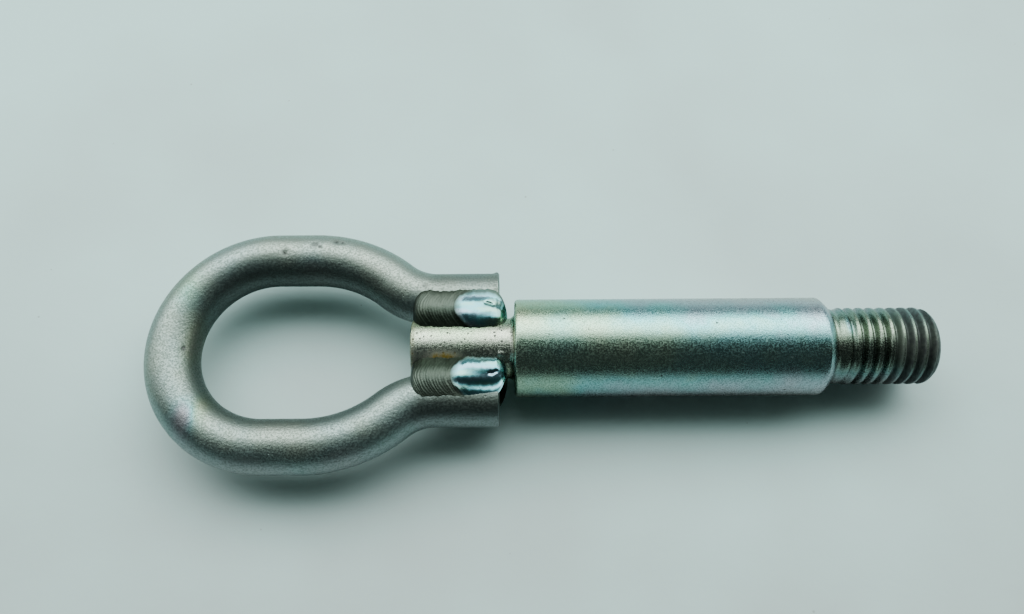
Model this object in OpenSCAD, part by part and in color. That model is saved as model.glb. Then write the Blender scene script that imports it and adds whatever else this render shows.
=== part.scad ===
// Screw-in tow eye: a turned shank with a coarse left-hand thread, a bent round
// bar that makes the eye, and four fillet weld beads that join the two.
// The shank lies along X with its thread towards +X. The eye lies flat in the
// XY plane. The origin is on the shank's axis, at its shoulder by the thread.

/* [Shank] */
// Diameter of the plain shank
shank_d = 22.8; // [20:0.1:30]
// Length of the plain shank, from its shoulder to its end by the eye
shank_l = 70; // [40:0.5:110]
// Chamfer on the shank's end by the eye
shank_edge = 1; // [0.4:0.1:2]

/* [Neck] */
// Diameter of the neck that the bar is welded to
neck_d = 14; // [11:0.1:18]
// Length of the neck
neck_l = 23.7; // [16:0.1:36]
// Radius in the corner between neck and shank
neck_fillet = 1.5; // [0.5:0.1:2.5]
// Chamfer on the neck's free end
neck_edge = 0.4; // [0.2:0.1:1.5]
// Depth of the two side grooves that the bar's legs sit in
seat_depth = 0.9; // [0.3:0.1:1.6]
// Clearance between a leg and its groove
seat_gap = 0.05; // [0.02:0.01:0.2]

/* [Thread] */
// Nominal diameter over the thread's crests
thread_d = 18; // [14:0.5:19]
// Length from the shoulder to the tip of the thread
thread_l = 26.5; // [18:0.5:40]
// Pitch of the left-hand thread
thread_pitch = 2.5; // [1.5:0.1:3.5]
// Depth of the thread's groove
thread_depth = 1.4; // [0.6:0.05:1.6]
// Length over which the groove grows to its full depth
thread_fade = 2.6; // [0.5:0.1:6]
// Angle by which the thread is turned about its axis
thread_turn = 270; // [0:5:355]
// Length of the crowned shoulder between shank and thread
shoulder_l = 3; // [1.5:0.1:5]
// Radius of the crown on the shoulder
shoulder_r = 7.6; // [6:0.1:12]
// Length of the smaller run-out behind the last full turn
runout_l = 2.4; // [1:0.1:4]
// How far the run-out lies below the crests
runout_step = 0.25; // [0.1:0.05:0.6]
// Radius around the thread's tip
tip_r = 3.2; // [1:0.1:5]

/* [Eye bar] */
// Diameter of the round bar
bar_d = 12.6; // [10:0.1:15]
// Clear width of the eye, across the shank's direction
eye_w = 33.4; // [30:0.2:50]
// Length of the two straight runs on the eye's sides
side_l = 8.8; // [1:0.2:30]
// Inside radius of the bends that spread the legs
spread_r = 9.7; // [5:0.1:16]
// Inside radius of the bends that turn the legs back to the sides
side_r = 25.2; // [14:0.2:40]
// Length of each straight leg beside the neck
leg_l = 14.5; // [8:0.1:24]
// Gap between a leg's cut end and the shank
leg_gap = 3.5; // [1.5:0.1:6]

/* [Weld beads] */
// Angle on the neck, from its top line, where the two beads at +Y begin
toe_neck_left = 26; // [10:1:50]
// Angle on the neck, from its top line, where the two beads at -Y begin
toe_neck_right = 33; // [10:1:50]
// Angle on the leg, from its top line, where the two beads at +Y end
toe_leg_left = -3; // [-20:1:15]
// Angle on the leg, from its top line, where the two beads at -Y end
toe_leg_right = 6; // [-20:1:15]
// Height of a bead's crown over the line between its toes
bead_crown = 1.2; // [0.4:0.1:2.4]
// How far a bead stops short of the corner radius at the shank
bead_gap = 0.1; // [0.05:0.05:2]
// Length of the rounding at a bead's end by the eye
bead_nose = 2.4; // [1:0.1:5]
// Length of the tongue in which a bead runs out by the shank
bead_tongue = 6; // [2:0.1:9]
// Extra size of a bead where its weld pool ended, as a share
pool_swell = 0.06; // [0:0.01:0.12]

/* [Hidden] */
$fn = 96;

shank_r = shank_d / 2;
neck_r = neck_d / 2;
thread_r = thread_d / 2;
bar_r = bar_d / 2;
runout_r = thread_r - runout_step;
arc_steps = 8;

// Places along the shank's axis, the shoulder being zero
thread_x = shoulder_l + runout_l;
tip_x = thread_l - tip_r;
neck_x = -shank_l;
neck_end_x = neck_x - neck_l;
leg_end_x = neck_x - leg_gap;
spread_x = leg_end_x - leg_l;

// Centre line of the bar: these radii are to the middle of the bar
leg_y = neck_r + bar_r - seat_depth;
eye_r = (eye_w + bar_d) / 2;
spread_cl_r = spread_r + bar_r;
side_cl_r = side_r + bar_r;
bend_a = acos(1 - (eye_r - leg_y) / (spread_cl_r + side_cl_r));
side_x = spread_x - (spread_cl_r + side_cl_r) * sin(bend_a);
eye_x = side_x - side_l;
// The lengths of the bar stop this short of each other, and a ball a hair
// thicker than the bar joins them into one solid
set_back = 0.1;
hair = 0.01;

// How far the seat grooves run out past the neck's free end
overrun = 1;

// The threaded length is a loft that begins inside the run-out, a little thinner
// than it. Its rings stand a share of the pitch apart, and it has so many sides.
thread_root = 0.35;
thread_sink = 0.1;
rings_a_turn = 8;
thread_sides = 32;
tip_steps = 9;
crest_width = 1.4;

// Vee between neck and leg: the height where their surfaces cross, and the
// angles on neck and leg, from their top lines, just above that height
vee_lift = 0.3;
vee_y = (neck_r * neck_r - bar_r * bar_r + leg_y * leg_y) / (2 * leg_y);
vee_z = sqrt(max(0, neck_r * neck_r - vee_y * vee_y)) + vee_lift;
vee_neck_a = acos(vee_z / neck_r);
vee_leg_a = -acos(vee_z / bar_r);

// A bead along X, and the steps of its surface along it and across it
bead_x0 = neck_end_x + bead_gap;
bead_x1 = neck_x - neck_fillet - bead_gap;
bead_l = bead_x1 - bead_x0;
bead_fit = 0.02;
bead_steps = 30;
crowding = 0.7;
flank_steps = 5;
crown_steps = 8;
end_size = 0.45;
pool_place = 0.68;
pool_width = 0.16;

// Points of an arc about c, from angle a0 to angle a1
function arc(c, r, a0, a1) =
    [for (i = [0:arc_steps]) let (a = a0 + (a1 - a0) * i / arc_steps)
        c + r * [cos(a), sin(a)]];

// Centre of the arc of radius r that bulges to the left of the way from p to q
function arc_centre(p, q, r) =
    let (d = q - p, l = norm(d))
    (p + q) / 2 + [d[1], -d[0]] / l * sqrt(r * r - l * l / 4);

// Half section of the turned shank: x along the axis, y its radius
crown_from = [0, shank_r];
crown_to = [shoulder_l, runout_r];
crown_c = arc_centre(crown_from, crown_to, shoulder_r);
function heading(c, p) = atan2(p[1] - c[1], p[0] - c[0]);
shank_section = concat(
    [[neck_end_x, 0], [neck_end_x, neck_r - neck_edge], [neck_end_x + neck_edge, neck_r]],
    arc([neck_x - neck_fillet, neck_r + neck_fillet], neck_fillet, -90, 0),
    [[neck_x, shank_r - shank_edge], [neck_x + shank_edge, shank_r]],
    arc(crown_c, shoulder_r, heading(crown_c, crown_from), heading(crown_c, crown_to)),
    [[thread_x, runout_r], [thread_x, 0]]);

// Radius of the thread without its groove at x: it rises from the run-out to the
// crests, and is rounded off at the tip
function thread_body(x) =
    min(thread_r, runout_r - thread_sink + max(0, x - thread_x))
    - (x > tip_x ? tip_r - sqrt(max(0, tip_r * tip_r - pow(x - tip_x, 2))) : 0);

// Depth of the left-hand groove at x and at angle a from +Y towards +Z
function groove(x, a) =
    let (wave = (1 - cos(360 * x / thread_pitch + a + thread_turn)) / 2)
    thread_depth * pow(wave, crest_width) * min(1, max(0, x - thread_x) / thread_fade);

// A ring round the thread at x
function thread_ring(x) =
    [for (j = [0:thread_sides - 1])
        let (a = 360 * j / thread_sides, r = min(thread_body(x), thread_r - groove(x, a)))
        [x, r * cos(a), r * sin(a)]];

// Places of the thread's rings: evenly along the groove, then round the tip
function thread_places() =
    let (x0 = thread_x - thread_root, n = ceil((tip_x - x0) / thread_pitch * rings_a_turn))
    concat(
        [for (i = [0:n - 1]) x0 + (tip_x - x0) * i / n],
        [for (i = [0:tip_steps]) tip_x + tip_r * sin(90 * i / tip_steps)]);

// A bead's size along its length: small at both ends, full between them, and
// swollen where its weld pool ended
function rounded(t) = 1 - pow(1 - min(1, t), 2);
function bead_size(x) =
    (end_size + (1 - end_size) * min(rounded(x / bead_nose), rounded((bead_l - x) / bead_tongue)))
    * (1 + pool_swell * exp(-pow((x / bead_l - pool_place) / pool_width, 2)));

// Share of a bead's length at its ring i: the rings crowd together at both ends
function ring_place(i) = i / bead_steps - crowding * sin(360 * i / bead_steps) / (2 * PI);

// Points beside the neck and the leg at x, by their angle from the top line. They
// stand off so far that the flat steps between them clear the round surface.
// The leg's formula follows the bar round the start of its first bend.
function stand_off(r, sweep) = (r + bead_fit) / cos(sweep / flank_steps / 2);
function by_neck(x, a, sweep) =
    let (r = stand_off(neck_r, sweep)) [x, r * sin(a), r * cos(a)];
function by_leg(x, a, sweep) =
    let (r = stand_off(bar_r + hair, sweep), past = max(0, spread_x - x),
         reach = spread_cl_r - r * sin(a))
    [x, leg_y + spread_cl_r - sqrt(reach * reach - past * past), r * cos(a)];

// A ring round the bead at x: up the leg, over the crown, down the neck
function bead_ring(x, toe_neck, toe_leg) =
    let (s = bead_size(x - bead_x0),
         neck_sweep = (toe_neck - vee_neck_a) * s, leg_sweep = (toe_leg - vee_leg_a) * s,
         leg = [for (i = [0:flank_steps])
             by_leg(x, vee_leg_a + leg_sweep * i / flank_steps, leg_sweep)],
         neck = [for (i = [flank_steps:-1:0])
             by_neck(x, vee_neck_a + neck_sweep * i / flank_steps, neck_sweep)],
         from = leg[flank_steps], across = neck[0] - from,
         up = [0, across[2], -across[1]] / norm(across))
    concat(
        leg,
        [for (i = [1:crown_steps - 1]) let (u = i / crown_steps)
            from + across * u + up * 4 * u * (1 - u) * bead_crown * s],
        neck);

// The flat end of a loft whose ring of m points starts at point k0: a strip of
// triangles between the two facing halves of the ring
function loft_end(k0, m) = concat(
    [for (k = [0:floor((m - 3) / 2)]) [k0 + k, k0 + k + 1, k0 + m - 1 - k]],
    [for (k = [0:floor((m - 4) / 2)]) [k0 + k + 1, k0 + m - 2 - k, k0 + m - 1 - k]]);
function turned(faces) = [for (f = faces) [f[2], f[1], f[0]]];

// A solid through equal rings of points, with flat ends. The rings run
// anticlockwise as seen from +X, and follow each other towards +X.
module loft(rings) {
    m = len(rings[0]);
    n = len(rings);
    polyhedron(
        points = [for (r = rings) each r],
        faces = concat(
            loft_end(0, m),
            [for (i = [0:n - 2], j = [0:m - 1])
                [i * m + j, (i + 1) * m + j, i * m + (j + 1) % m]],
            [for (i = [0:n - 2], j = [0:m - 1])
                [i * m + (j + 1) % m, (i + 1) * m + j, (i + 1) * m + (j + 1) % m]],
            turned(loft_end((n - 1) * m, m))),
        convexity = 6);
}

// A round bar along X from x0 to x1, at height zero
module rod(x0, x1, y, r) {
    translate([x0, y, 0]) rotate([0, 90, 0]) cylinder(h = x1 - x0, r = r);
}

// A bent length of the bar about [x, y], set back at both of its end angles
module bend(x, y, cl_r, a0, a1) {
    back = asin(set_back / cl_r);
    translate([x, y, 0]) rotate([0, 0, a0 + back])
        rotate_extrude(angle = a1 - a0 - 2 * back) translate([cl_r, 0]) circle(r = bar_r);
}

// The ball at [x, y] between two lengths of the bar, its poles along the bar
module joint(x, y, heading_a) {
    translate([x, y, 0]) rotate([0, 90, heading_a]) sphere(r = bar_r + hair);
}

// One leg with its two bends and its straight side, on the +Y half
module bar_half() {
    rod(spread_x + set_back, leg_end_x, leg_y, bar_r);
    joint(spread_x, leg_y, 0);
    bend(spread_x, leg_y + spread_cl_r, spread_cl_r, -90 - bend_a, -90);
    joint(side_x + side_cl_r * sin(bend_a), eye_r - side_cl_r * (1 - cos(bend_a)), -bend_a);
    bend(side_x, eye_r - side_cl_r, side_cl_r, 90 - bend_a, 90);
    joint(side_x, eye_r, 0);
    rod(eye_x + set_back, side_x - set_back, eye_r, bar_r);
    joint(eye_x, eye_r, 0);
}

module eye_bar() {
    color("#9aa39e") union() {
        bar_half();
        mirror([0, 1, 0]) bar_half();
        bend(eye_x, 0, eye_r, 90, 270);
    }
}

module shank() {
    color("#a7b3ad") union() {
        difference() {
            rotate([90, 0, 90]) rotate_extrude() polygon([for (p = shank_section) [p[1], p[0]]]);
            for (side = [-1, 1])
                rod(neck_end_x - overrun, leg_end_x + seat_gap, side * leg_y,
                    bar_r + hair + seat_gap);
        }
        loft([for (x = thread_places()) thread_ring(x)]);
    }
}

// A bead at +Y on the upper face, in the vee between the neck and the leg
module bead(toe_neck, toe_leg) {
    loft([for (i = [0:bead_steps])
        bead_ring(bead_x0 + bead_l * ring_place(i), toe_neck, toe_leg)]);
}

module weld_upper_left() {
    color("#8f9892") bead(toe_neck_left, toe_leg_left);
}

module weld_upper_right() {
    color("#8f9892") mirror([0, 1, 0]) bead(toe_neck_right, toe_leg_right);
}

module weld_lower_left() {
    color("#858e88") mirror([0, 0, 1]) bead(toe_neck_left, toe_leg_left);
}

module weld_lower_right() {
    color("#858e88") rotate([180, 0, 0]) bead(toe_neck_right, toe_leg_right);
}

shank();
eye_bar();
weld_upper_left();
weld_upper_right();
weld_lower_left();
weld_lower_right();
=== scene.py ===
"""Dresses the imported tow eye: a turned and threaded shank, a bent round bar welded to
its neck, and their bright zinc plating, on a pale bench under one broad soft light."""

import math

import bpy
import numpy as np
from mathutils import Matrix, Vector


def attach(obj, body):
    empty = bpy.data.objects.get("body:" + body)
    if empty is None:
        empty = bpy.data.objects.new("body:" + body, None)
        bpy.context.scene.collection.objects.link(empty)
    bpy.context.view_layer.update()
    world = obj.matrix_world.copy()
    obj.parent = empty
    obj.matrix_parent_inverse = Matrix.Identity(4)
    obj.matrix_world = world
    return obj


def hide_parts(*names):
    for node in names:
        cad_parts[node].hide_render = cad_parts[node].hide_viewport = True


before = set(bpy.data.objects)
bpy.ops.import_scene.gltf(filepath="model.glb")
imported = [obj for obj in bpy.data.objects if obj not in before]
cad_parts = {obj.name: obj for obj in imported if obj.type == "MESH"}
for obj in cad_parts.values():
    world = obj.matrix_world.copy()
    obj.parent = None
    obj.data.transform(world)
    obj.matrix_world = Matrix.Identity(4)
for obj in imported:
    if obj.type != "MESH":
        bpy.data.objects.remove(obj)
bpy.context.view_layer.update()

# ---- Camera
# It hangs over the neck and leans back a little, as a hand-held telephone does.
# Its lens is as long as 820 of the 1024 columns of the picture.
lens_columns, picture_columns = 820, 1024
camera_place = (-0.070537, -0.063997, 0.181325)
view_right = Vector((0.99997753, -0.00628572, -0.00232869))
view_up = Vector((0.00669915, 0.92503133, 0.37983175))
view_ahead = Vector((0.00023340, 0.37983882, -0.92505266))
camera_data = bpy.data.cameras.new("camera")
camera_data.sensor_fit = "HORIZONTAL"
camera_data.sensor_width = 36.0
camera_data.lens = camera_data.sensor_width * lens_columns / picture_columns
camera_data.clip_start = 0.01
camera = bpy.data.objects.new("camera", camera_data)
bpy.context.scene.collection.objects.link(camera)
turn = Matrix((view_right, view_up, -view_ahead)).transposed()
camera.matrix_world = Matrix.Translation(camera_place) @ turn.to_4x4()
bpy.context.scene.camera = camera


# ---- Turned shank with its neck and its left-hand thread
# One steel bar turned to a neck, a plain shank, a crowned shoulder and a screw end.
# Its thread is rolled; its crests are lighter than its grooves, which take a painted shade.
sharp_angle = math.radians(38)


def skin(name, rings):
    """Closes a stack of rings of points, in millimetres, into a solid's surface: quads
    join each ring to the next, and a fan of triangles closes each end at its middle.
    The faces look outward whichever way the rings run."""
    count, sides = rings.shape[:2]
    first_middle, last_middle = count * sides, count * sides + 1
    last_row = (count - 1) * sides
    points = np.concatenate([rings.reshape(-1, 3), [rings[0].mean(0), rings[-1].mean(0)]])
    here = np.arange(sides)
    beside = (here + 1) % sides
    row = (np.arange(count - 1) * sides)[:, None]
    corners = [row + here, row + beside, row + sides + beside, row + sides + here]
    quads = np.stack(corners, axis=2).reshape(-1, 4)
    start = np.stack([beside, here, np.full(sides, first_middle)], axis=1)
    end = np.stack([last_row + here, last_row + beside, np.full(sides, last_middle)], axis=1)
    a, b, c, d = (points[quads[:, i]] for i in range(4))
    volume = (np.cross(b - a, c - a) * (a + b + c) + np.cross(c - a, d - a) * (a + c + d)).sum()
    order = -1 if volume < 0 else 1
    faces = [face[::order] for group in (quads, start, end) for face in group.tolist()]
    mesh = bpy.data.meshes.new(name)
    mesh.from_pydata((points / 1000).tolist(), [], faces)
    mesh.update()
    mesh.shade_smooth()
    mesh.set_sharp_from_angle(angle=sharp_angle)
    piece = bpy.data.objects.new(name, mesh)
    bpy.context.scene.collection.objects.link(piece)
    return piece


def mark(piece, name, values):
    """Keeps one number for each point of the mesh, for its material to read. The two
    end points take the mean of their rings."""
    flat = np.concatenate([values.ravel(), [values[0].mean()], [values[-1].mean()]])
    layer = piece.data.attributes.new(name, "FLOAT", "POINT")
    layer.data.foreach_set("value", flat.astype(np.float32))


def bell(offset, width):
    """1 where the offset is 0, falling off smoothly to 0 past the width."""
    return np.exp(-((offset / width) ** 2))


def rise(value, start, length):
    """0 up to the start, then straight up to 1 over the length."""
    return np.clip((value - start) / length, 0, 1)


def node(tree, kind, inputs=None, **settings):
    """Adds a node, and sets or links its inputs."""
    made = tree.nodes.new("ShaderNode" + kind)
    for key, value in settings.items():
        setattr(made, key, value)
    for key, value in (inputs or {}).items():
        if isinstance(value, bpy.types.NodeSocket):
            tree.links.new(value, made.inputs[key])
        else:
            made.inputs[key].default_value = value
    return made


def reckon(tree, kind, a, b, clamp=False):
    """One step of arithmetic on two numbers."""
    return node(tree, "Math", {0: a, 1: b}, operation=kind, use_clamp=clamp).outputs[0]


def times(tree, a, b, clamp=False):
    """Two numbers multiplied."""
    return reckon(tree, "MULTIPLY", a, b, clamp)


def noise(tree, spot, scale, detail=2.0):
    """Soft random blotches, about 0.5 on average."""
    inputs = {"Vector": spot, "Scale": scale, "Detail": detail}
    return node(tree, "TexNoise", inputs).outputs["Fac"]


def ranged(tree, value, low, high, to_low=0.0, to_high=1.0):
    """A number carried from one range to another and held at its ends."""
    ends = {"From Min": low, "From Max": high, "To Min": to_low, "To Max": to_high}
    return node(tree, "MapRange", {"Value": value, **ends}).outputs["Result"]


def ramp(tree, place, stops):
    """A colour ramp through the stops, each a place and a colour."""
    made = node(tree, "ValToRGB", {"Fac": place})
    ends = made.color_ramp.elements
    while len(ends) < len(stops):
        ends.new(0.5)
    for element, (at, colour) in zip(ends, stops):
        element.position = at
        element.color = (*colour, 1)
    return made.outputs["Color"]


def blended(tree, kind, share, a, b):
    """Two colours mixed in one of Blender's ways: sockets 6, 7 and 2 are its colours."""
    a, b = ((*colour, 1) if isinstance(colour, tuple) else colour for colour in (a, b))
    settings = {"data_type": "RGBA", "blend_type": kind, "clamp_result": True}
    return node(tree, "Mix", {0: share, 6: a, 7: b}, **settings).outputs[2]


def covered(tree, below, share, colour):
    """A colour hidden under another one, by the share."""
    return blended(tree, "MIX", share, below, colour)


def shaded(tree, below, share, colour):
    """A colour dimmed by another one, by the share."""
    return blended(tree, "MULTIPLY", share, below, colour)


def relief(tree, shader, height, strength, distance):
    """Grain too fine for the mesh tilts the surface by its height."""
    inputs = {"Height": height, "Strength": strength, "Distance": distance}
    bump = node(tree, "Bump", inputs)
    tree.links.new(bump.outputs["Normal"], shader.inputs["Normal"])


def effect(name, takes, gives):
    """A node group with named sockets, for an effect that several finishes share: its
    tree, what it takes and what it gives."""
    tree = bpy.data.node_groups.new(name, "ShaderNodeTree")
    for in_out, sockets in (("INPUT", takes), ("OUTPUT", gives)):
        for key, kind in sockets.items():
            tree.interface.new_socket(key, in_out=in_out, socket_type="NodeSocket" + kind)
    taken, given = tree.nodes.new("NodeGroupInput"), tree.nodes.new("NodeGroupOutput")
    return tree, taken.outputs, given.inputs


# Satin grain: the fine matt crystals of the plating, coarse and fine ones together
satin_grain, taken, given = effect(
    "satin_grain", {"Vector": "Vector", "Scale": "Float"}, {"Height": "Float"}
)
coarse = noise(satin_grain, taken["Vector"], taken["Scale"])
fine = noise(satin_grain, taken["Vector"], times(satin_grain, taken["Scale"], 2.7), 1.0)
both = reckon(satin_grain, "ADD", coarse, times(satin_grain, fine, 0.5))
satin_grain.links.new(both, given["Height"])

# Frost: tiny patches of the plating that are duller than the rest
frost, taken, given = effect("frost", {"Vector": "Vector", "Scale": "Float"}, {"Mask": "Float"})
flakes = noise(frost, taken["Vector"], taken["Scale"], 1.5)
frost.links.new(ranged(frost, flakes, 0.46, 0.60), given["Mask"])

# Passive film: the clear chromate over the zinc. Its place says how thick it is, from
# straw through green, cyan and blue to mauve, and drifts a little from spot to spot
passive_film, taken, given = effect(
    "passive_film",
    {"Vector": "Vector", "Base": "Color", "Place": "Float", "Amount": "Float"},
    {"Color": "Color"},
)
clouds = noise(passive_film, taken["Vector"], 90.0, 4.0)
drift = ranged(passive_film, clouds, 0.3, 0.7, -0.12, 0.12)
tint = ramp(
    passive_film,
    reckon(passive_film, "ADD", drift, taken["Place"]),
    [
        (0.02, (1.0, 0.98, 0.80)),
        (0.16, (0.84, 1.0, 0.68)),
        (0.32, (0.60, 1.0, 0.76)),
        (0.48, (0.30, 0.92, 1.0)),
        (0.60, (0.60, 0.82, 1.0)),
        (0.74, (0.88, 0.82, 1.0)),
        (0.92, (1.0, 0.86, 0.92)),
    ],
)
filmed = shaded(passive_film, taken["Base"], taken["Amount"], tint)
passive_film.links.new(filmed, given["Color"])

# Specks: small pits and grime spots, each in its own cell, most cells bare
specks, taken, given = effect(
    "specks",
    {"Vector": "Vector", "Scale": "Float", "Share": "Float", "Size": "Float"},
    {"Mask": "Float"},
)
wobble = noise(specks, taken["Vector"], times(specks, taken["Scale"], 3.0))
cell_inputs = {"Vector": taken["Vector"], "Scale": taken["Scale"], "Randomness": 1.0}
cells = node(specks, "TexVoronoi", cell_inputs).outputs
lot = node(specks, "SeparateColor", {"Color": cells["Color"]}).outputs
chosen = reckon(specks, "LESS_THAN", lot["Red"], taken["Share"])
size = times(specks, reckon(specks, "ADD", lot["Green"], wobble), taken["Size"])
near = ranged(specks, cells["Distance"], size, 0.01)
speck = times(specks, times(specks, near, 3.0, True), chosen)
specks.links.new(speck, given["Mask"])


def finish_of(name):
    """A new metal finish: its material, tree and shader, and the object's own
    coordinates."""
    material = bpy.data.materials.new(name)
    material.use_nodes = True
    tree = material.node_tree
    shader = tree.nodes["Principled BSDF"]
    shader.inputs["Metallic"].default_value = 1.0
    return material, tree, shader, node(tree, "TexCoord").outputs["Object"]


def use_group(tree, group, spot, **inputs):
    """Places a shared effect with its own values, and gives its one output."""
    return node(tree, "Group", {"Vector": spot, **inputs}, node_tree=group).outputs[0]


def attribute(tree, name):
    """The number that mark() kept on the mesh."""
    return node(tree, "Attribute", attribute_name=name, attribute_type="GEOMETRY").outputs["Fac"]


def marked_film(tree, spot, base):
    """The passive film over a bare metal, as thick and as strong as the mesh says."""
    marks = {"Place": attribute(tree, "film_place"), "Amount": attribute(tree, "film_amount")}
    return use_group(tree, passive_film, spot, Base=base, **marks)


neck_r, shank_r, crest_r, runout_r = 7.0, 11.4, 9.0, 8.75
neck_end, seat_end, past_seats, shank_end, body_start = -93.7, -73.46, -73.44, -70.0, -68.8
crown_end, rolled_start, thread_start, crest_start, tip_start = 2.5, 2.6, 5.4, 5.65, 23.3
corner_r, edge_r, crown_r, tip_r = 1.5, 0.9, 7.6, 3.2
leg_y, bar_r, seat_gap = 12.4, 6.3, 0.06
seat_r = bar_r + seat_gap
pitch, groove_depth, first_phase = 2.5, 1.4, 0.75
seam_depth, seam_width, spatter_height = 0.07, 0.13, 0.34
shank_sides = 160


def arc_points(centre, radius, start, stop, steps):
    """Points of an arc, by its centre, its radius and two angles in degrees."""
    a = np.radians(np.linspace(start, stop, steps))
    return np.stack([centre[0] + radius * np.cos(a), centre[1] + radius * np.sin(a)], axis=1)


def shank_profile():
    """Half section from the neck's free end to the thread's tip, without the groove: x
    and radius. The crown of the shoulder is one arc through both of its ends."""
    x = np.linspace(neck_end, seat_end, 90)
    rounding = 0.3 * np.clip((neck_end + 1.3 - x) / 1.3, 0, 1) ** 1.5
    neck = np.stack([x, neck_r - rounding - 0.25 * (x < neck_end + 0.05)], axis=1)
    corner = arc_points((shank_end - corner_r, neck_r + corner_r), corner_r, -90, 0, 12)
    edge = arc_points((shank_end + edge_r, shank_r - edge_r), edge_r, 172, 94, 8)
    body = np.stack([np.linspace(body_start, 0, 80), np.full(80, shank_r)], axis=1)
    start, end = np.array([0.0, shank_r]), np.array([crown_end, runout_r])
    way = end - start
    length = np.hypot(*way)
    square = np.array([way[1], -way[0]]) / length
    middle = (start + end) / 2 + square * math.sqrt(crown_r**2 - length**2 / 4)
    x = np.linspace(0, crown_end, 18)[1:]
    crown = np.stack([x, middle[1] + np.sqrt(crown_r**2 - (x - middle[0]) ** 2)], axis=1)
    x = np.arange(rolled_start, tip_start, 0.1)
    stops, radii = [3, thread_start, crest_start], [runout_r, runout_r, crest_r]
    rolled = np.stack([x, np.interp(x, stops, radii)], axis=1)
    tip = arc_points((tip_start, crest_r - tip_r), tip_r, 90, 0, 46)
    return np.concatenate([neck, [[past_seats, neck_r]], corner, edge, body, crown, rolled, tip])


profile = shank_profile()
angle = np.linspace(0, 2 * np.pi, shank_sides, endpoint=False)[None]
along, radius = profile[:, :1], profile[:, 1:]
screw_end = along > crown_end
# the left-hand groove is a raised cosine drawn narrow, so the crests are wide; rolling
# left a faint seam on each crest and the first turns shallow
phase = along / pitch + angle / (2 * np.pi) + first_phase
wave = (1 - np.cos(2 * np.pi * phase)) / 2
deepening = 0.3 * rise(along, 3.3, 2.2) + 0.7 * rise(along, thread_start, 2.6)
groove = groove_depth * wave**1.4 * deepening
off_crest = np.abs((phase + 0.5) % 1.0 - 0.5) * pitch
seam = seam_depth * bell(off_crest, seam_width) * deepening
rng = np.random.default_rng(11)
rough = sum(
    rng.uniform(0.3, 1)
    * np.sin(2 * np.pi * phase * turns + rng.uniform(0, 6.28))
    * np.sin(angle * lobes + rng.uniform(0, 6.28) + along * slant)
    for turns, lobes, slant in ((1, 5, 0.4), (2, 9, 1.1), (3, 13, 0.7), (2, 17, 1.9))
)
shallow = 0.26 * wave**1.6 * np.clip((6.2 - along) / 0.8, 0, 1)
screw_r = np.minimum(radius - shallow, crest_r - groove) - seam + 0.018 * rough * deepening
turned_r = np.where(screw_end, screw_r, radius)


def turn_from(start):
    """The angle round the axis from a given one, between minus and plus half a turn."""
    return np.angle(np.exp(1j * (angle - start)))


# seats for the bar's legs: the neck ends where the leg's round begins
off_leg = np.minimum(np.abs(turn_from(0)), np.abs(turn_from(np.pi)))
half_chord = np.sqrt(np.maximum(seat_r**2 - (leg_y * np.sin(off_leg)) ** 2, 0))
seat = leg_y * np.cos(off_leg) - half_chord
in_seat = (off_leg < math.asin(seat_r / leg_y)) & (along <= seat_end)
turned_r = np.where(in_seat, np.minimum(turned_r, seat), turned_r)
turned_r = np.minimum(turned_r, np.where(screw_end, crest_r - 0.005, np.inf))


def spot_at(x, turn, long, wide):
    """A soft round mark on the turned surface: 1 at x and at an angle in degrees from
    +Y towards +Z, gone past its length and its width in degrees."""
    off = np.degrees(turn_from(math.radians(turn)))
    return np.exp(-(((along - x) / long) ** 2) - (off / wide) ** 2)


# droplets of weld spatter by the beads' ends
for x, turn in ((-72.3, 66), (-72.9, 73), (-72.4, 126), (-73.2, 119), (-72.0, 137)):
    turned_r = turned_r + spatter_height * np.clip(spot_at(x, turn, 0.42, 3.6) * 1.5, 0, 1)
rings = [along + 0 * angle, turned_r * np.cos(angle), turned_r * np.sin(angle)]
shank = skin("turned_shank", np.stack(rings, axis=2))

# the film thickens from green by the eye to cyan by the thread, and more towards both
# sides and below; along the top it is weak, and the crown and the neck have their own
crown_film, neck_film = 1.8, -70.2
rim = 1 - np.clip(np.cos(angle - math.radians(109.4)), 0, 1)
below = bell(np.degrees(turn_from(math.radians(196))), 42)
past_neck = np.clip((along + 64) / (34 - 14 * below), 0, 1)
film_place = 0.22 + 0.28 * rise(along, shank_end, 70) + 0.12 * rim + 0.40 * rim * past_neck
crown_place = 0.14 + 0.42 * rim + 0.36 * below + 0.42 * spot_at(5.8, 78, 0.9, 14)
film_place = np.where(along > crown_film, crown_place, film_place)
film_place = np.where(along < neck_film, 0.06 + 0.2 * rim, film_place)
top_stripe = spot_at(-35, 122, 1000, 27)
film_amount = 0.98 - 0.42 * rim * rise(along, shank_end, 30) - 0.12 * below - 0.45 * top_stripe
# soot fills the last turns' grooves and then hides the tip; rust has a stain between
# the beads and a faint ring round the neck's free end
at_tip = np.clip((along - 22.5) / 1.5, 0, 0.5)
filled = np.clip(groove / groove_depth * 22 + at_tip + 0.25, 0, 1)
# the thread takes a greyer tone and, down its grooves, a painted shade; the crown's far end takes a
# painted shade as a dark ring
thread_tone_and_groove_shade = 0.72 + 0.28 * groove / groove_depth
crown_painted_shade = 1.1 * rise(along, 0.9, 1.2)
shank_marks = {
    "film_place": film_place,
    "film_amount": film_amount,
    # painted shade on the underside, half again as strong on the thread
    "below": below * np.where(along > crown_film, 1.5, 1.0),
    "soot": rise(along, 14.8, 3.4) * filled,
    "groove": np.where(screw_end, thread_tone_and_groove_shade, crown_painted_shade),
    "rust": 1.2 * spot_at(-86.3, 125, 3.2, 10) + 0.3 * bell(along + 93.3, 0.7),
    "neck": np.clip((-70.3 - along) / 0.4, 0, 1) + 0 * angle,
}
for key, values in shank_marks.items():
    mark(shank, key, values)

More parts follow.
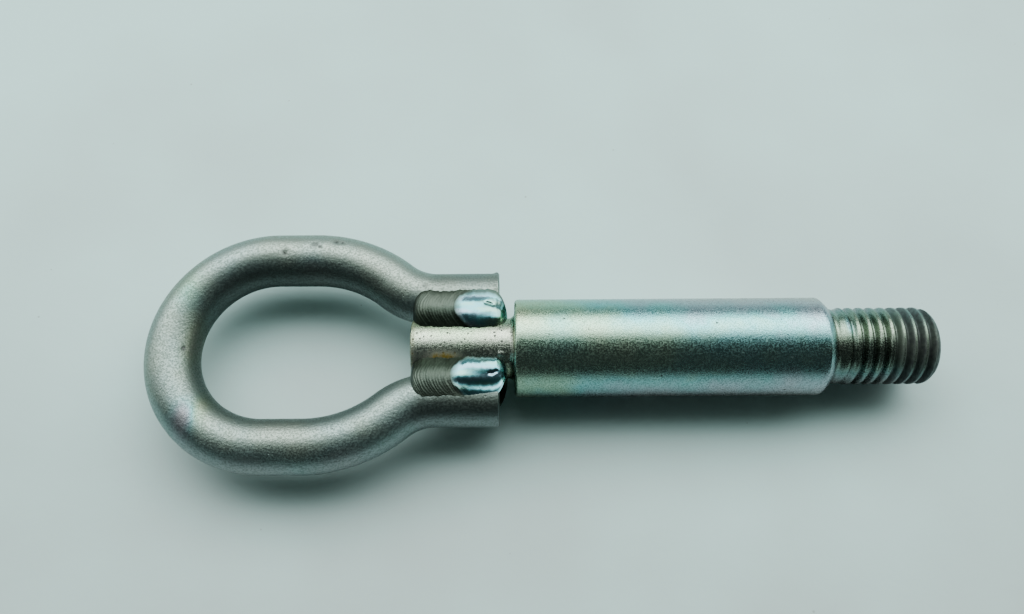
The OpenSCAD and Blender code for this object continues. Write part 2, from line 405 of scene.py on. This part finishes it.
zinc, pit_grey, thread_grey_and_painted_shade = (0.42, 0.46, 0.445, 1), (0.02, 0.024, 0.02), (0.08, 0.10, 0.092)
soot_black, rust_brown = (0.018, 0.021, 0.022), (0.17, 0.125, 0.018)
underside_painted_shade, frost_shade = (0.62, 0.30, 0.32), (0.62, 0.66, 0.62)
shank_zinc, tree, shader, spot = finish_of("turned_zinc")
on_neck = attribute(tree, "neck")
body_pits = use_group(tree, specks, spot, Scale=560.0, Share=0.15, Size=0.12)
neck_pits = use_group(tree, specks, spot, Scale=1300.0, Share=0.5, Size=0.3)
pits = reckon(tree, "MAXIMUM", body_pits, times(tree, neck_pits, on_neck))
blotch = noise(tree, spot, 900.0, 3.0)
soot = times(tree, attribute(tree, "soot"), ranged(tree, blotch, 0.35, 0.6, 0.97, 0.72))
rust = times(tree, attribute(tree, "rust"), times(tree, blotch, 1.8), True)
dull = times(tree, use_group(tree, frost, spot, Scale=3000.0), 0.55)
film = marked_film(tree, spot, zinc)
# painted shade: the underside dimmed towards mauve
film = shaded(tree, film, times(tree, attribute(tree, "below"), 0.5), underside_painted_shade)
film = covered(tree, film, times(tree, pits, 0.9), pit_grey)
# the thread's greyer tone with painted shade in its grooves, and painted shade on the crown
film = covered(tree, film, times(tree, attribute(tree, "groove"), 0.8), thread_grey_and_painted_shade)
film = covered(tree, film, soot, soot_black)
film = covered(tree, film, rust, rust_brown)
film = shaded(tree, film, dull, frost_shade)
tree.links.new(film, shader.inputs["Base Color"])
dirty = reckon(tree, "MAXIMUM", reckon(tree, "MAXIMUM", soot, rust), times(tree, pits, 0.8))
roughness = ranged(tree, reckon(tree, "MAXIMUM", dirty, dull), 0.0, 1.0, 0.17, 0.55)
tree.links.new(roughness, shader.inputs["Roughness"])
metallic = reckon(tree, "SUBTRACT", 1.0, times(tree, dirty, 0.8))
tree.links.new(metallic, shader.inputs["Metallic"])
# the lathe's marks are plain to see on the neck and faint on the shank
lathe = {"Vector": spot, "Scale": 1000.0, "Distortion": 4.0, "Detail": 3.0, "Detail Scale": 2.0}
turning = node(tree, "TexWave", lathe, wave_type="BANDS", bands_direction="X").outputs["Fac"]
tooling = times(tree, turning, reckon(tree, "ADD", times(tree, on_neck, 0.9), 0.06))
grain = use_group(tree, satin_grain, spot, Scale=3500.0)
height = reckon(tree, "SUBTRACT", reckon(tree, "ADD", grain, tooling), pits)
relief(tree, shader, height, 0.36, 0.00011)
shank.data.materials.append(shank_zinc)
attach(shank, "root")
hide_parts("shank")


# ---- Bent eye bar
# One drawn round bar bent cold to a closed eye, its two straight legs laid against
# the neck and cut off square. The bends leave it a hair out of round.
spread_x, leg_end = -88.0, -73.5
spread_r, side_r, eye_r, side_length = 16.0, 31.5, 23.0, 8.8
bend = math.acos(1 - (eye_r - leg_y) / (spread_r + side_r))
side_x = spread_x - (spread_r + side_r) * math.sin(bend)
eye_x = side_x - side_length
bar_step, bar_sides, bar_inset = 0.35, 96, 0.06


def eye_path(step):
    """The bar's centre line, from the cut end at +Y round to the cut end at -Y:
    straight leg, two opposite bends, straight side and half of the round end, then
    the same mirrored. Gives x, y and the heading's angle at equal steps."""
    bends = [spread_r * bend, side_r * bend]
    lengths = [leg_end - spread_x, *bends, side_x - eye_x, eye_r * np.pi / 2]
    turns = [0, -bend, bend, 0, np.pi / 2]
    ends = np.concatenate([[0], np.cumsum(lengths)])
    s = np.linspace(0, ends[-1], int(ends[-1] / step))
    heading = np.pi + np.interp(s, ends, np.concatenate([[0], np.cumsum(turns)]))
    middle = (heading[1:] + heading[:-1]) / 2
    x = leg_end + np.concatenate([[0], np.cumsum(np.cos(middle) * np.diff(s))])
    y = leg_y + np.concatenate([[0], np.cumsum(np.sin(middle) * np.diff(s))])
    mirrored = [np.concatenate([x, x[-2::-1]]), np.concatenate([y, -y[-2::-1]])]
    return *mirrored, np.concatenate([heading, 3 * np.pi - heading[-2::-1]])


path_x, path_y, heading = eye_path(bar_step)
angle = np.linspace(0, 2 * np.pi, bar_sides, endpoint=False)[None]
run = np.arange(len(path_x))[:, None] * bar_step
out_of_round = 0.05 * np.sin(2 * angle + run / 19) + 0.03 * np.sin(run / 7.3 + 1.3)
out_of_round = out_of_round + 0.02 * np.sin(3 * angle - run / 5.1)
section = bar_r - bar_inset + out_of_round * 0.7
level = np.zeros(len(path_x))
side_way = np.stack([-np.sin(heading), np.cos(heading), level], axis=1)[:, None]
centre = np.stack([path_x, path_y, level], axis=1)[:, None]
upward = np.array([0.0, 0.0, 1.0])
outward = np.cos(angle)[..., None] * side_way + np.sin(angle)[..., None] * upward
rings = centre + section[..., None] * outward
# nicks of the bending tool and knocks, with dirt in them, and one burr at the cut:
# where on the bar, how far they reach, how deep and how dark
grime = np.zeros(rings.shape[:2])
nick = np.zeros(rings.shape[:2])
for x, y, z, reach, depth, dark in (
    (-124.4, 22.3, 6.3, 0.75, 0.12, 1.0),
    (-117.4, 24.5, 6.1, 1.0, 0.08, 0.7),
    (-116.2, 23.9, 6.2, 0.5, 0.06, 0.9),
    (-112.4, 25.4, 5.6, 0.8, 0.10, 0.8),
    (-111.0, 25.2, 5.6, 0.6, 0.08, 0.8),
    (-145.5, -1.1, 4.7, 0.62, 0.06, 1.1),
    (-90.8, 13.6, 6.2, 0.9, 0.08, 0.4),
    (-88.9, -12.6, 6.3, 1.0, 0.10, 0.5),
    (-74.1, 18.1, 2.7, 0.55, -0.35, 0.2),
):
    off = np.linalg.norm(rings - np.array([x, y, z]), axis=2)
    rings = rings - outward * (depth * bell(off, reach))[..., None]
    grime = np.maximum(grime, 0.8 * bell(off, reach * 2.2))
    nick = np.maximum(nick, dark * bell(off, reach * 0.9))
# crumbs of dirt in the bends and by the beads: where and how far
for x, y, reach in (
    (-95.5, 9.2, 3.4),
    (-106.2, 14.4, 2.6),
    (-94.4, -10.7, 2.6),
    (-88.8, -12.4, 2.2),
    (-90.8, 13.6, 2.0),
):
    off = np.hypot(rings[..., 0] - x, rings[..., 1] - y)
    grime = np.maximum(grime, 0.85 * bell(off, reach))
# stains of thicker or thinner film: where, how far across and along, and the change
film_place = 0.34 + 0.42 * np.clip(-outward[..., 1] - 0.25, 0, 1)
film_amount = np.full(rings.shape[:2], 0.3)
for x, y, wide, reach, shift in (
    (-144.1, 0.3, 2.0, 6.0, -0.24),
    (-139.4, -14.6, 2.0, 4.0, -0.2),
    (-143.0, -17.8, 2.6, 4.0, 0.4),
    (-146.0, 13.0, 3.0, 4.6, 0.05),
):
    off_x, off_y = (rings[..., 0] - x) / wide, (rings[..., 1] - y) / reach
    stain = np.exp(-(off_x**2) - off_y**2)
    film_place += shift * stain
    film_amount += 0.5 * stain
# painted shade: the bar is painted darker inside the eye, beside the front bead,
# behind the back leg and, a little, on both legs
inside_eye = np.clip(np.cos(angle), 0, 1) ** 1.5
painted_shade = inside_eye * np.clip((leg_end - 19 - rings[..., 0]) / 6, 0.25, 1)
past_top = bell(angle - math.radians(118), math.radians(38))
by_bead = past_top * rise(rings[..., 0], -95, 4) * (rings[..., 1] < 0)
behind = rise(outward[..., 1], 0.02, 0.15) * rise(rings[..., 0], -92, 4) * (rings[..., 1] > 0)
on_legs = rise(rings[..., 0], -96, 6)
for share, place in ((0.85, by_bead), (0.55, behind), (0.26, on_legs)):
    painted_shade = np.maximum(painted_shade, share * place)
# each cut end has a narrow bevel
bevel, bevel_share = 0.22, 0.955
lips = rings[[0, -1]]
for end in (0, -1):
    rings[end] = centre[end] + (rings[end] - centre[end]) * bevel_share
inward = np.array([np.cos(heading[0]), np.sin(heading[0]), 0.0]) * bevel
first_lip, last_lip = lips[:1] + inward, lips[1:] + inward
bar_rings = [rings[:1], first_lip, rings[1:-1], last_lip, rings[-1:]]
bar = skin("bent_eye_bar", np.concatenate(bar_rings))
bar_marks = {
    "grime": grime,
    "nick": nick,
    "film_place": film_place,
    "film_amount": film_amount,
    "painted_shade": painted_shade,
}
for key, values in bar_marks.items():
    mark(bar, key, np.concatenate([values[:1], values, values[-1:]]))

zinc, pit_grey, dirt_black = (0.27, 0.288, 0.277, 1), (0.08, 0.09, 0.08), (0.022, 0.026, 0.022)
painted_shade_grey, frost_shade = (0.05, 0.058, 0.053), (0.66, 0.70, 0.66)
bar_zinc, tree, shader, spot = finish_of("bar_zinc")
pits = use_group(tree, specks, spot, Scale=600.0, Share=0.10, Size=0.12)
crumbs = use_group(tree, specks, spot, Scale=1300.0, Share=0.55, Size=0.24)
ragged = times(tree, noise(tree, spot, 1500.0), 2.2)
caked = times(tree, attribute(tree, "nick"), ragged, True)
dirt = reckon(tree, "MAXIMUM", times(tree, crumbs, attribute(tree, "grime")), caked)
dull = use_group(tree, frost, spot, Scale=2500.0)
film = marked_film(tree, spot, zinc)
film = covered(tree, film, times(tree, pits, 0.6), pit_grey)
film = covered(tree, film, dirt, dirt_black)
# painted shade inside the eye, by the front bead, behind the back leg and on the legs
film = covered(tree, film, times(tree, attribute(tree, "painted_shade"), 0.78), painted_shade_grey)
film = shaded(tree, film, times(tree, dull, 0.6), frost_shade)
tree.links.new(film, shader.inputs["Base Color"])
metallic = reckon(tree, "SUBTRACT", 1.0, times(tree, dirt, 0.8))
tree.links.new(metallic, shader.inputs["Metallic"])
tree.links.new(ranged(tree, dull, 0.0, 1.0, 0.38, 0.56), shader.inputs["Roughness"])
grain = use_group(tree, satin_grain, spot, Scale=2000.0)
hammered = times(tree, noise(tree, spot, 420.0), 0.7)
sunken = reckon(tree, "ADD", pits, dirt)
height = reckon(tree, "SUBTRACT", reckon(tree, "ADD", grain, hammered), sunken)
relief(tree, shader, height, 0.5, 0.00013)
bar.data.materials.append(bar_zinc)
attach(bar, "root")
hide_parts("eye_bar")


# ---- Weld beads
# Four fillets laid by arc welding in the vees between neck and legs, from the eye
# towards the shank: rippled where they froze, smooth where the pool stopped.
bead_x0, bead_x1, nose_length, tail_length = -93.6, -71.6, 3.6, 3.4
bead_length = bead_x1 - bead_x0
crown_height, ripple_pitch, slit_depth = 1.2, 0.66, 0.3
into_leg, into_neck = 0.04, 0.03
vee_y = (neck_r**2 - bar_r**2 + leg_y**2) / (2 * leg_y)
vee_z = math.sqrt(neck_r**2 - vee_y**2) + 0.3
vee_neck = math.degrees(math.acos(vee_z / neck_r))
vee_leg = -math.degrees(math.acos(vee_z / bar_r))


def bead_surface(toe_neck, toe_leg, ridge, pool_x, pit_x, seed):
    """Rings round a bead at +Y on the upper face. Each runs up the leg, over the crown
    and down the neck. Both ends close as quarter ellipses, and the crown is a parabola
    over the line between the toes. Ripples bow towards the eye. Past pool_x the
    crown is smooth, fuller and leans over to the neck, with a sunken slit at pit_x,
    and a ridge of that height stands along the leg. Gives for each point also how
    clean the pool is there, and how much painted shade it takes: towards the neck on
    the rippled crown and by the leg's toe."""
    rng = np.random.default_rng(seed)
    t = np.linspace(0, 1, 260)
    x = bead_x0 + bead_length * (t - 0.85 * np.sin(2 * np.pi * t) / (2 * np.pi))
    at = x[:, None]
    nose = 1 - np.clip(1 - (x - bead_x0) / nose_length, 0, 1)
    tail = 1 - np.clip(1 - (bead_x1 - x) / tail_length, 0, 1)
    size = np.sqrt(1 - (1 - nose) ** 2) ** 0.9 * np.sqrt(1 - (1 - tail) ** 2) ** 1.1
    swelling = 1 + 0.06 * bell((x - bead_x0) / bead_length - 0.68, 0.16)
    size = np.clip(size, 0.06, 1) * swelling
    # the toes wander along both flanks, which lie a hair inside neck and leg
    waves = ((0.5, 0.9), (0.35, 1.9), (0.3, 3.7), (0.2, 6.1))
    wander = sum(a * np.sin(x * f + rng.uniform(0, 6.28)) for a, f in waves)
    neck_a = np.radians(vee_neck + (toe_neck - vee_neck) * size + wander * 1.6 * size)
    leg_a = np.radians(vee_leg + (toe_leg - vee_leg) * size + wander[::-1] * 1.8 * size)
    flank = np.linspace(0, 1, 12)[None]
    leg_sweep = np.radians(vee_leg) + (leg_a[:, None] - np.radians(vee_leg)) * flank
    neck_sweep = np.radians(vee_neck) + (neck_a[:, None] - np.radians(vee_neck)) * flank[:, ::-1]
    past = np.maximum(0, spread_x - at)
    r = bar_r - into_leg
    leg_out = leg_y + spread_r - np.sqrt((spread_r - r * np.sin(leg_sweep)) ** 2 - past**2)
    leg = np.stack([at + 0 * leg_sweep, leg_out, r * np.cos(leg_sweep)], axis=2)
    r = neck_r - into_neck
    neck = np.stack([at + 0 * neck_sweep, r * np.sin(neck_sweep), r * np.cos(neck_sweep)], axis=2)
    # over the crown v runs from 0 at the leg's toe to 1 at the neck's toe
    v = np.linspace(0, 1, 70)[1:-1][None]
    across = neck[:, 0] - leg[:, -1]
    up = np.stack([0 * x, across[:, 2], -across[:, 1]], axis=1)
    up = up / np.linalg.norm(across, axis=1)[:, None]
    past_front = at - 3.4 * np.abs(2 * v - 1) ** 2.2 - pool_x
    smooth = np.clip(past_front / 0.5, 0, 1)
    lean = rise(at, pool_x, 10) * 0.7
    skewed = v ** (1 + lean * 1.6)
    hollow = 0.22 - 0.14 * smooth
    arch = (1 - hollow) * (1 - np.abs(2 * skewed - 1) ** (2 + 0.5 * smooth))
    arch = arch + hollow * np.sin(np.pi * skewed) ** 2
    fuller = 1 + 0.10 * rise(at, pool_x, 3)
    # ripples on the crown, a lip at the pool's front, a slit and streaks in the pool
    bowed = at - 2.6 * (2 * v - 1) ** 2
    bumps = ((0.5, 2.1, 2), (0.4, 3.3, -3), (0.3, 5.3, 4))
    uneven = sum(a * np.sin(bowed * f + rng.uniform(0, 6.28) + b * v) for a, f, b in bumps)
    ripple = 0.044 * np.sin(2 * np.pi * bowed / ripple_pitch + 0.9 * uneven) + 0.04 * uneven
    lip = 0.11 * bell(past_front, 0.35) - 0.09 * bell(past_front - 1.1, 0.8)
    off_slit = (v - 0.40 - 0.75 * ridge - 0.02 * (at - pit_x)) / 0.04
    slit = slit_depth * np.exp(-((at - pit_x) ** 4) - off_slit**2)
    streaks = 0.03 * np.sin(v * 21 + at * 0.35 + seed) * smooth
    streaks += ridge * (bell(v - 0.13, 0.08) - 0.6 * bell(v - 0.31, 0.08)) * smooth
    detail = (ripple * (1 - smooth) + lip + streaks) * np.sin(np.pi * v) ** 0.6 - slit
    lift = crown_height * size[:, None] * arch * fuller + detail * size[:, None]
    top = leg[:, -1:] + across[:, None] * v[..., None] + up[:, None] * lift[..., None]
    inside_toes = np.clip(np.minimum(v - 0.09 + 0.7 * ridge, 1 - v) / 0.14, 0, 1)
    clean = np.clip(past_front / 1.8, 0, 1) * (0.1 + 0.9 * inside_toes)
    # painted shade: darker towards the neck on the rippled crown and by the leg's toe
    painted_vee_shade = rise(v, 0.45, 0.3) * (1 - smooth) + (1 - 4 * ridge) * bell(v, 0.11)
    flanks = np.ones_like(leg_sweep)
    return (
        np.concatenate([leg, top, neck], axis=1),
        np.concatenate([0 * flanks, clean, 0 * flanks], axis=1),
        np.concatenate([flanks, painted_vee_shade, flanks], axis=1),
    )


matt_zinc, bright_zinc = (0.072, 0.083, 0.075, 1), (0.30, 0.355, 0.37, 1)
painted_vee_shade_colour, crumb_grey = (0.30, 0.34, 0.30), (0.05, 0.055, 0.05)
weld_zinc, tree, shader, spot = finish_of("weld_zinc")
pool = attribute(tree, "pool")
matt = use_group(tree, passive_film, spot, Base=matt_zinc, Place=0.2, Amount=0.3)
# painted shade over the matt weld, towards the neck and by the leg's toe
matt = shaded(tree, matt, attribute(tree, "painted_vee_shade"), painted_vee_shade_colour)
streaked = node(tree, "Mapping", {"Vector": spot, "Scale": (0.25, 1.0, 1.0)}).outputs["Vector"]
bands = ranged(tree, noise(tree, streaked, 620.0), 0.35, 0.65, 0.38, 0.56)
bright = use_group(tree, passive_film, spot, Base=bright_zinc, Place=bands, Amount=0.85)
crumbs = use_group(tree, specks, spot, Scale=1400.0, Share=0.22, Size=0.15)
film = covered(tree, blended(tree, "MIX", pool, matt, bright), times(tree, crumbs, 0.7), crumb_grey)
tree.links.new(film, shader.inputs["Base Color"])
tree.links.new(ranged(tree, pool, 0.0, 1.0, 0.42, 0.21), shader.inputs["Roughness"])
grain = use_group(tree, satin_grain, spot, Scale=2300.0)
matt_share = reckon(tree, "SUBTRACT", 1.0, times(tree, pool, 0.85))
height = times(tree, reckon(tree, "SUBTRACT", grain, crumbs), matt_share)
relief(tree, shader, height, 0.5, 0.00013)

# the toes' angles on neck and leg, with the ridge's height; where the pool begins and
# where its slit lies; the side of the part; and the seed
for name, toes, pool_x, pit_x, side, seed in (
    ("weld_upper_left", (26, -3, 0.02), -83.8, -75.7, (1, 1, 1), 3),
    ("weld_upper_right", (36, 7, 0.20), -84.4, -74.8, (1, -1, 1), 8),
    ("weld_lower_left", (26, -3, 0.05), -80.0, -75.5, (1, 1, -1), 5),
    ("weld_lower_right", (33, 6, 0.12), -82.0, -74.5, (1, -1, -1), 6),
):
    rings, clean, painted_vee_shade = bead_surface(*toes, pool_x, pit_x, seed)
    bead = skin("bead_" + name[5:], rings * np.array(side))
    mark(bead, "pool", clean)
    mark(bead, "painted_vee_shade", painted_vee_shade)
    bead.data.materials.append(weld_zinc)
    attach(bead, "root")
    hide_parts(name)


# ---- Bench, light and surroundings
# A pale painted board with a few specks of dust, lit by a broad window overhead and
# behind. The side where the onlooker stands is dark, as the metal mirrors it.
bench_half, bench_z = 2.5, -0.0114
ways = ((-1, -1), (1, -1), (1, 1), (-1, 1))
board_corners = [(x * bench_half, y * bench_half, bench_z) for x, y in ways]
board = bpy.data.meshes.new("bench")
board.from_pydata(board_corners, [], [(0, 1, 2, 3)])
bench = bpy.data.objects.new("bench", board)
bpy.context.scene.collection.objects.link(bench)
laminate = bpy.data.materials.new("pale_laminate")
laminate.use_nodes = True
tree = laminate.node_tree
shader = tree.nodes["Principled BSDF"]
shader.inputs["Roughness"].default_value = 0.6
spot = node(tree, "TexCoord").outputs["Object"]
cloud = times(tree, noise(tree, spot, 14.0, 3.0), 0.5)
# painted light: the board grows paler towards the back, where the window is, over its random cloudy
# tone
depth = node(tree, "SeparateXYZ", {"Vector": spot}).outputs["Y"]
cloud_and_painted_light = reckon(tree, "ADD", cloud, ranged(tree, depth, -0.09, 0.09, -0.17, 0.17))
board_colour = ramp(tree, cloud_and_painted_light, [(0.05, (0.38, 0.455, 0.45)), (0.45, (0.52, 0.77, 0.755))])
dust = times(tree, use_group(tree, specks, spot, Scale=210.0, Share=0.16, Size=0.05), 0.5)
dusty = covered(tree, board_colour, dust, (0.20, 0.22, 0.21))
tree.links.new(dusty, shader.inputs["Base Color"])
orange_peel = noise(tree, spot, 330.0)
relief(tree, shader, orange_peel, 0.16, 0.0003)
board.materials.append(laminate)

# The room as a function of direction: the angle from straight up towards the back
# picks the brightness, and the window ends at both sides
window_strength, backdrop_grey = 6.8, (0.50, 0.54, 0.54, 1)
world = bpy.data.worlds.new("room")
bpy.context.scene.world = world
world.use_nodes = True
tree = world.node_tree
tree.nodes.clear()
way = node(tree, "SeparateXYZ", {"Vector": node(tree, "TexCoord").outputs["Generated"]}).outputs
backward = reckon(tree, "ARCTAN2", way["Y"], way["Z"])
glow = ramp(
    tree,
    ranged(tree, backward, -math.pi / 2, math.pi / 2),
    [
        (0.38, (0.006, 0.008, 0.0076)),
        (0.48, (0.009, 0.012, 0.0112)),
        (0.545, (0.06, 0.075, 0.07)),
        (0.60, (0.50, 0.58, 0.56)),
        (0.64, (0.92, 1.0, 0.97)),
        (0.80, (0.92, 1.0, 0.97)),
        (0.83, (0.055, 0.068, 0.066)),
        (1.0, (0.055, 0.068, 0.067)),
    ],
)
sideways = reckon(tree, "ABSOLUTE", way["X"], 0.0)
room = shaded(tree, glow, 1.0, ranged(tree, sideways, 0.55, 0.92, 1.0, 0.42))
light = node(tree, "Background", {"Color": room, "Strength": window_strength})
backdrop = node(tree, "Background", {"Color": backdrop_grey, "Strength": 1.0})
to_camera = node(tree, "LightPath").outputs["Is Camera Ray"]
seen = node(tree, "MixShader", {0: to_camera, 1: light.outputs[0], 2: backdrop.outputs[0]})
node(tree, "OutputWorld", {"Surface": seen.outputs[0]})
